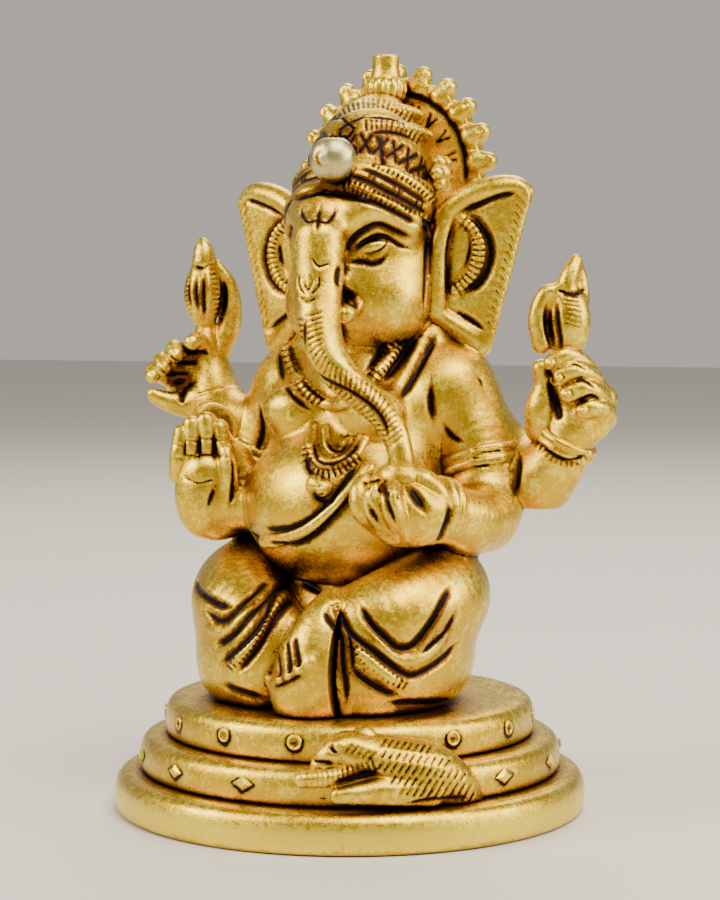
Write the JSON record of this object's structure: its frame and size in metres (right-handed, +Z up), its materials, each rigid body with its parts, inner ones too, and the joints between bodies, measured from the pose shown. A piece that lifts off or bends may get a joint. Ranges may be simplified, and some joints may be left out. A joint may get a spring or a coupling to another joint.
{
  "type": "seated devotional figurine",
  "caption": "Seated four-armed elephant-headed brass figurine with crown, halo and mouse on a round stepped base.",
  "frame": {"origin": "centre of the flat underside of the base, where it rests", "axes": "+Z up, the figure faces -Y, its left hand side is +X"},
  "size_m": [0.086, 0.079, 0.127],
  "materials": {
    "figure_brass": "polished antique brass, dark patina in the grooves",
    "ornament_brass": "cast antique brass, browner, dark between the ribs",
    "crown_brass": "cast antique brass with brown pitting",
    "pearl_brass": "worn pale silvery brass",
    "base_brass": "turned and brushed antique brass"
  },
  "bodies": {
    "root": {"base_bottom_step": "base_brass", "base_middle_step": "base_brass", "base_top_step": "base_brass", "mouse": "figure_brass", "mouse_ear": "figure_brass", "hips": "figure_brass", "right_leg": "figure_brass", "left_leg": "figure_brass", "right_foot": "figure_brass", "left_foot": "figure_brass", "waist_cloth": "ornament_brass", "torso": "figure_brass", "sash": "ornament_brass", "necklace": "ornament_brass", "pendant": "ornament_brass", "front_right_arm": "figure_brass", "raised_hand": "figure_brass", "front_left_arm": "figure_brass", "open_hand": "figure_brass", "sweet": "ornament_brass", "rear_right_arm": "figure_brass", "rear_right_fist": "figure_brass", "goad": "ornament_brass", "rear_left_arm": "figure_brass", "rear_left_fist": "figure_brass", "conch": "ornament_brass", "right_armlet": "ornament_brass", "left_armlet": "ornament_brass", "open_hand_bangle": "ornament_brass", "rear_right_bangle": "ornament_brass", "rear_left_bangle": "ornament_brass", "head": "figure_brass", "trunk": "figure_brass", "right_tusk": "figure_brass", "left_tusk": "figure_brass", "right_ear": "figure_brass", "left_ear": "figure_brass", "crown_band": "crown_brass", "crown_cap": "crown_brass", "crown_boss": "pearl_brass", "finial": "crown_brass", "right_crown_flower": "crown_brass", "left_crown_flower": "crown_brass", "halo": "crown_brass"}
  },
  "joints": []
}
